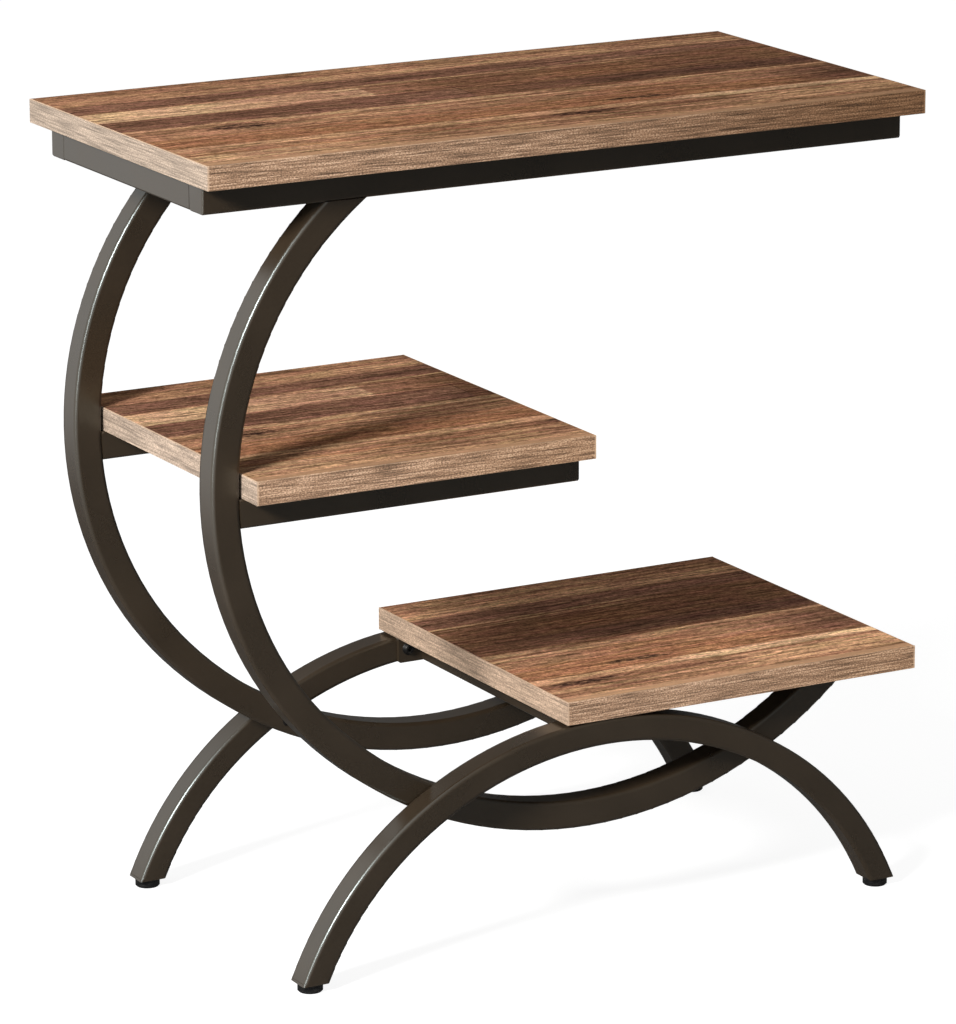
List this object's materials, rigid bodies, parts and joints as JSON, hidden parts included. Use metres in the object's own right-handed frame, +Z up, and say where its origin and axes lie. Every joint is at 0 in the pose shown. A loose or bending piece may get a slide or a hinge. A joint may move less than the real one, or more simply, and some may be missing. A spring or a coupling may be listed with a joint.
{
  "type": "c-shaped coffee table",
  "caption": "Small coffee or sofa-side table: a top board over C-shaped tubes that hold a middle shelf, with a lower shelf on arched legs with levelling feet.",
  "frame": {"origin": "on the floor, under the middle of the top board", "axes": "+X along the top board away from the C's back, +Y from the front to the back, +Z up"},
  "size_m": [0.6, 0.3, 0.6254],
  "materials": {
    "board_faces": "wood-look laminate in brown strips, satin",
    "board_edges": "lighter wood-look edge banding, satin",
    "coated_tube": "dark bronze-black powder coat, satin",
    "black_bolts": "black oxide, satin",
    "plated_steel": "zinc plate, bright",
    "foot_plastic": "black, glossy"
  },
  "bodies": {
    "table": {"top_panel": "board_faces", "mid_panel": "board_faces", "lower_panel": "board_faces", "top_edge_banding": "board_edges", "mid_edge_banding": "board_edges", "lower_edge_banding": "board_edges", "top_rail_front": "coated_tube", "top_rail_back": "coated_tube", "top_rail_caps": "coated_tube", "top_cross_rail_left": "coated_tube", "top_cross_rail_right": "coated_tube", "top_cross_flanges": "coated_tube", "c_tube_front": "coated_tube", "c_tube_back": "coated_tube", "c_end_tabs": "coated_tube", "mid_rail_front": "coated_tube", "mid_rail_back": "coated_tube", "mid_rail_caps": "coated_tube", "mid_cross_rail": "coated_tube", "mid_cross_flanges": "coated_tube", "arch_front": "coated_tube", "arch_back": "coated_tube", "leg_end_plates": "coated_tube", "lower_cross_rail": "coated_tube", "lower_cross_flanges": "coated_tube", "top_flange_bolts": "black_bolts", "mid_flange_bolts": "black_bolts", "lower_flange_bolts": "black_bolts", "arch_crossing_bolts": "black_bolts", "top_board_screws": "black_bolts", "mid_board_screws": "black_bolts", "lower_board_screws": "black_bolts", "frame_rivet_nuts": "plated_steel", "arch_rivet_nuts": "plated_steel", "leg_weld_nuts": "plated_steel"},
    "foot_front_left": {"foot_pad_front_left": "foot_plastic", "foot_stud_front_left": "plated_steel"},
    "foot_front_right": {"foot_pad_front_right": "foot_plastic", "foot_stud_front_right": "plated_steel"},
    "foot_back_left": {"foot_pad_back_left": "foot_plastic", "foot_stud_back_left": "plated_steel"},
    "foot_back_right": {"foot_pad_back_right": "foot_plastic", "foot_stud_back_right": "plated_steel"}
  },
  "joints": [
    {"name": "foot_front_left_level", "type": "slide", "parent": "table", "child": "foot_front_left", "axis": [0, 0, -1], "range_m": [0, 0.008]},
    {"name": "foot_front_right_level", "type": "slide", "parent": "table", "child": "foot_front_right", "axis": [0, 0, -1], "range_m": [0, 0.008]},
    {"name": "foot_back_left_level", "type": "slide", "parent": "table", "child": "foot_back_left", "axis": [0, 0, -1], "range_m": [0, 0.008]},
    {"name": "foot_back_right_level", "type": "slide", "parent": "table", "child": "foot_back_right", "axis": [0, 0, -1], "range_m": [0, 0.008]}
  ]
}
